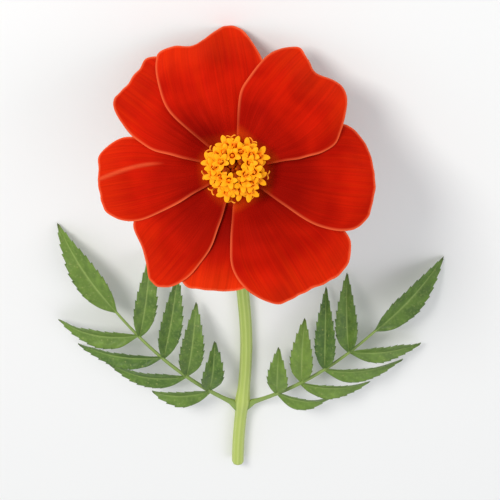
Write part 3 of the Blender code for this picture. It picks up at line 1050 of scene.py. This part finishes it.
def build_disc():
    """All the florets of the disc, and the ray petals' styles, of the open ones' material."""
    materials = {"open": open_floret_material(), "closed": closed_floret_material()}
    jitters = random.Random(HEIGHT_SEED)
    for index in range(FLORETS):
        share = math.sqrt((index + 0.5) / FLORETS)
        top = floret_top(share) + jitters.uniform(-HEIGHT_JITTER, HEIGHT_JITTER)
        kind, design = ("closed", closed_floret) if index < CLOSED_FLORETS else ("open", open_floret)
        name = f"floret_{index + 1:02d}"
        shape = design(index, share, index * GOLDEN_ANGLE, top)
        shape.make(f"{kind}_{name}", materials[kind], f"{kind}_floret", name)
    build_young_florets(materials["closed"])
    build_ray_styles(materials["open"])


# Involucre


def bract_relief(phase, height):
    """Share of the radius by which ribs stand out, and the seams between bracts lie in."""
    parted = smooth((height - TIP_START) / -TIP_START)
    rib = np.cos(CIRCLE * phase) * RIB_HEIGHT + 0.02 * bump_at(phase, 0, 0.07)
    side_ribs = 0.012 * bump_at(np.abs(phase), 0.26, 0.05)
    seam = 0.035 * bump_at(np.abs(phase), 0.5, 0.05) * mix(0.35, 1, parted)
    return smooth((height + INVOLUCRE_LENGTH - 1) / 5) * (rib + side_ribs - seam)


def bract_glands(phase, height, turn):
    """Rows of dark glands that run up both sides of each bract."""
    away = np.abs(phase)
    streaks = bump_at(away, 0.14, 0.045) + 0.8 * bump_at(away, 0.38, 0.04)
    beads = smooth(0.5 + 0.9 * np.sin(height * 3.1 + 3 * np.sign(phase) + 2 * np.floor(turn)))
    return streaks * mix(0.35, 1, beads) * smooth((height + 12) / 3)


def build_involucre():
    """A cup of eight bracts, grown together up to their tips."""
    outside = through(CUP_FOOT + CUP_BELLY, 84)
    rows = np.vstack([outside, CUP_LIP, through(CUP_INSIDE, 22)])
    is_outside = (np.arange(len(rows)) < len(outside))[:, None]
    turn = circle(BRACT_COLUMNS * BRACTS)
    phase = (turn * BRACTS / CIRCLE + 0.5) % 1 - 0.5  # 0 at a bract's middle
    height = np.repeat(rows[:, 1:], len(turn), axis=1)
    radius = np.minimum(rows[:, :1] * (1 + is_outside * bract_relief(phase, height)), CUP_LARGEST)
    tooth = BRACT_TIP * np.abs(2 * phase) ** 1.25
    lower = tooth * np.maximum(height - TIP_START, 0) / -TIP_START
    grid = [radius * np.cos(turn), radius * np.sin(turn), height - lower]
    shape = Shape()
    shape.add_tube(
        from_head(np.stack(grid, axis=-1)),
        height=1 + height / INVOLUCRE_LENGTH,
        rib=bump_at(phase, 0, 0.12) + 0.6 * bump_at(np.abs(phase), 0.26, 0.06),
        gland=bract_glands(phase, height, turn) * is_outside,
        **around(turn),
    )
    shape.make("cup_of_bracts", cup_material(), "involucre", "involucre")


# Stem


def ridged_rings(turn, ridge, place):
    """By what the stem's radius is multiplied. It is round where it meets the cup."""
    uneven = ripples(STEM_SEED, np.cos(turn) * 3 + place * 0.4, turn * 2, 5)
    ridged = smooth((STEM_LENGTH - place) / 6)
    return 1 - RIDGE_DEPTH * ridged * (1 - ridge) + STEM_UNEVENNESS * (uneven - 1)


def flat_start_rings(path, radii, columns, shape):
    """Rings of a tube whose first ones lie in the plane of the cut."""
    guide = path.copy()
    step = path[CUT_ROWS + 1] - path[CUT_ROWS]
    guide[:CUT_ROWS] = path[CUT_ROWS] + np.outer(np.arange(-CUT_ROWS, 0), step)
    return tube_rings(guide, radii, columns, shape=shape) + (path - guide)[:, None]


def build_stem():
    """A stem with eight ridges, a slightly domed cut end, and its top just inside the cup."""
    path = through(ROUTE, STEM_ROWS) + DESIGN_SHIFT
    into_cup = path[-1] + HEAD_AXES[2] * (TOUCH_GAP + 0.1)
    shrink = np.sin(np.linspace(0.12, 1, CUT_ROWS) * math.pi / 2)
    dome = np.outer(CUT_DOME * (1 - shrink), (0, 1, 0))
    path = np.vstack([path[0] + dome, path[1:], into_cup])
    lengthwise = np.linspace(0, STEM_LENGTH, STEM_ROWS)[1:]
    place = np.concatenate([np.zeros(CUT_ROWS), lengthwise, [STEM_LENGTH + TOUCH_GAP]])
    radii = stem_radius(place)
    radii[:CUT_ROWS] *= shrink * 0.97
    pith = np.zeros(len(place))
    pith[:CUT_ROWS] = smooth((0.99 - shrink) / 0.3)
    turn = circle(12 * STEM_RIDGES)
    ridge = (0.5 + 0.5 * np.cos(STEM_RIDGES * turn)) ** 1.6
    rings = flat_start_rings(path, radii, len(turn), ridged_rings(turn, ridge, place[:, None]))
    shape = Shape()
    along = place[:, None] / STEM_LENGTH
    shape.add_tube(rings, along=along, ridge=ridge, pith=pith[:, None], **around(turn))
    shape.make("flower_stem", stem_material(), "stem", "stem")


# Leaves


def on_leaf(leaf, across, along, above):
    """Places of the flat leaf after it is swept sideways and arched down to the surface."""
    share = clamp(along / LEAF_LENGTH)
    spine = NODE_RADIUS * (1 - share) + LEAF_ARCH * np.sin(math.pi * share**0.9)
    fall = clamp(np.abs(across) / LEAF_REACH) ** 1.5
    half = LEAF_THICKNESS / 2
    height = np.maximum(half + (spine - half) * (1 - fall), half)
    x = (across + leaf.sweep * share**2) * leaf.scale
    y = along * leaf.scale
    flat = turned(np.stack([x, y, height + above], axis=-1), -leaf.side * leaf.heading)
    joint = ROUTE[round(NODE_PLACE / STEM_STEP)]
    stand_off = NODE_RADIUS + TOUCH_GAP + RACHIS_HALF_WIDTH * math.cos(leaf.heading)
    foot = np.array([joint[0] + leaf.side * stand_off, joint[1], 0])
    return above_surface(flat + foot + DESIGN_SHIFT, LOWEST_LEAF)


def leaflet_outline(side, place, length, widest, hand, teeth, draws):
    """Half width of a lance-shaped leaflet, and its saw-toothed places beside and ahead."""
    belly = np.sin(math.pi * place**0.82) ** mix(1.2, 0.95, smooth(3 * place))
    half_width = 0.94 * widest * belly + 0.2 * (1 - place) ** 3
    half_width = half_width * (1 + 0.07 * draws.uniform(-1, 1) * np.sign(side))
    toothed = smooth((place - 0.1) / 0.2) * np.sin(math.pi * place) ** 0.4 * np.abs(side) ** 6
    saw = ((place * teeth + 0.15 * np.sign(side)) % 1) ** 1.6 * toothed
    bow = draws.uniform(0.01, 0.06) * hand * length
    beside = side * (half_width + TOOTH_DEPTH * saw) + bow * (place - place**2 * 1.6)
    return half_width, beside, length * place + 0.5 * saw


def add_leaflet(shape, leaf, start, heading, length, widest, draws):
    """A serrated blade, folded up along its midrib and bent down towards its tip."""
    teeth = max(6, round(length / TOOTH_LENGTH))
    place = np.linspace(0, 1, 8 * teeth + 1)[:, None]
    side = rounded(np.linspace(-1, 1, LEAFLET_COLUMNS), 0.4)[None]
    away = np.abs(side)
    hand = np.sign(heading) or leaf.side
    half_width, beside, ahead = leaflet_outline(side, place, length, widest, hand, teeth, draws)
    turn = heading + draws.uniform(-0.06, 0.06)
    across = math.sin(turn) * ahead + math.cos(turn) * beside
    along = start + math.cos(turn) * ahead - math.sin(turn) * beside
    veins = np.cos(CIRCLE * (away * 1.4 - place * 0.6 * teeth)) * away * (1 - away**6)
    midrib = bump_at(side, 0, 0.07)
    fold = draws.uniform(0.38, 0.62) * half_width * away**1.25
    arch = draws.uniform(0.4, 1.6) * np.sin(math.pi * place**1.2)
    twist = draws.uniform(-0.3, 0.3) * beside * place
    waves = LEAFLET_WAVES * ripples(draws.randrange(1000), across, along, 5) * away
    middle = fold + arch + twist + waves + LEAFLET_VEINS * veins - LEAFLET_MIDRIB * midrib
    edge = smooth((np.maximum(away, place) - 0.8) / 0.2)
    half = mix(LEAFLET_THICKNESS, LEAFLET_EDGE, edge) / 2
    keel = LEAFLET_KEEL * bump_at(side, 0, 0.09) * (1 - 0.6 * place)
    top = on_leaf(leaf, across, along, middle + half)
    bottom = on_leaf(leaf, across, along, middle - half - keel)
    values = {"vein": 0.5 - 0.5 * veins, "midrib": midrib, "place": place}
    shape.add_sheet(top, bottom, tint=draws.uniform(0, 1), **values)


def add_rachis(shape, leaf):
    """The leaf's stalk: a tapering rod with a groove on top, up to the last leaflet."""
    share = np.linspace(0, 1, 90)[:, None]
    turn = circle(20)
    start = -2.7  # under the ridge of the stem's joint
    end = LEAF_LENGTH - TERMINAL_LENGTH + 1.5
    along = np.repeat(mix(start, end, share), len(turn), axis=1)
    clasp = 0.5 * bump_at(share, 0, 0.075)
    radius = mix(RACHIS_HALF_WIDTH * 0.9, 0.26, share) + clasp
    groove = 1 - 0.4 * bump_at(np.sin(turn), 1, 0.25)
    above = radius * 0.8 * np.sin(turn) * groove + 0.05
    rings = on_leaf(leaf, -radius * np.cos(turn), along, above)
    shape.add_tube(rings, midrib=0.8, place=0.3, tint=0.7)


def build_leaf(leaf, material):
    draws = random.Random(leaf.name)
    shape = Shape()
    add_rachis(shape, leaf)
    for pair, length in enumerate(PAIR_LENGTHS):
        for edge in (-1, 1):
            start = PETIOLE + pair * PAIR_SPACING + draws.uniform(-0.5, 0.5)
            reach = (length + RACHIS_HALF_WIDTH) * draws.uniform(0.9, 0.97)
            widest = LEAFLET_HALF_WIDTH * draws.uniform(0.9, 1.03)
            add_leaflet(shape, leaf, start, edge * LEAFLET_ANGLE, reach, widest, draws)
    start = LEAF_LENGTH - TERMINAL_LENGTH
    add_leaflet(shape, leaf, start, 0, TERMINAL_LENGTH * 0.96, TERMINAL_HALF_WIDTH, draws)
    shape.make(f"feathered_{leaf.name}", material, "leaf", leaf.name)


# Surroundings


def build_floor():
    bpy.ops.mesh.primitive_plane_add(size=FLOOR_SIZE, location=(0, 0, 0))
    floor = bpy.context.object
    floor.name = "floor"
    coat = Coat("floor_pale", FLOOR_PALE)
    coat.shader.inputs["Base Color"].default_value = (*FLOOR_PALE, 1)
    coat.shader.inputs["Roughness"].default_value = FLOOR_ROUGHNESS
    floor.data.materials.append(coat.material)


def add_lamp(lamp):
    """A round soft light that shines on the flower."""
    light = bpy.data.lights.new(lamp.name, "AREA")
    light.shape = "DISK"
    light.size = lamp.size * MM
    light.energy = lamp.power
    light.color = lamp.color
    holder = put_in_scene(lamp.name, light)
    holder.location = Vector(lamp.place) * MM
    toward = (Vector(VIEW_TARGET) - Vector(lamp.place)).normalized()
    holder.rotation_euler = toward.to_track_quat("-Z", "Y").to_euler()


def build_lights():
    world = bpy.data.worlds.new("studio")
    world.use_nodes = True
    background = world.node_tree.nodes["Background"]
    background.inputs["Color"].default_value = (*SKY, 1)
    background.inputs["Strength"].default_value = SKY_STRENGTH
    bpy.context.scene.world = world
    for lamp in LAMPS:
        add_lamp(lamp)


def build_camera():
    """Looks down along the head's axis, with the side that leans on the surface at the top."""
    back = Vector((0, math.cos(VIEW_ELEVATION), math.sin(VIEW_ELEVATION)))
    up = Vector((0, math.sin(VIEW_ELEVATION), -math.cos(VIEW_ELEVATION)))
    right = up.cross(back)
    camera = bpy.data.cameras.new("camera")
    camera.sensor_width = SENSOR_WIDTH
    camera.lens = SENSOR_WIDTH * VIEW_DISTANCE / VIEW_WIDTH
    camera.clip_start = 0.01
    viewer = put_in_scene("camera", camera)
    place = Vector(VIEW_TARGET) + back * VIEW_DISTANCE
    turn = Matrix((right, up, back)).transposed().to_4x4()
    viewer.matrix_world = Matrix.Translation(place * MM) @ turn
    bpy.context.scene.camera = viewer


def main():
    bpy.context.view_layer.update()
    petals = petal_material()
    for number, petal in enumerate(PETALS, start=1):
        build_petal(number, petal, petals)
    build_disc()
    build_involucre()
    build_stem()
    leaves = leaf_material()
    for leaf in LEAVES:
        build_leaf(leaf, leaves)
    build_floor()
    build_lights()
    build_camera()
    bpy.context.scene.view_settings.view_transform = "Standard"


main()
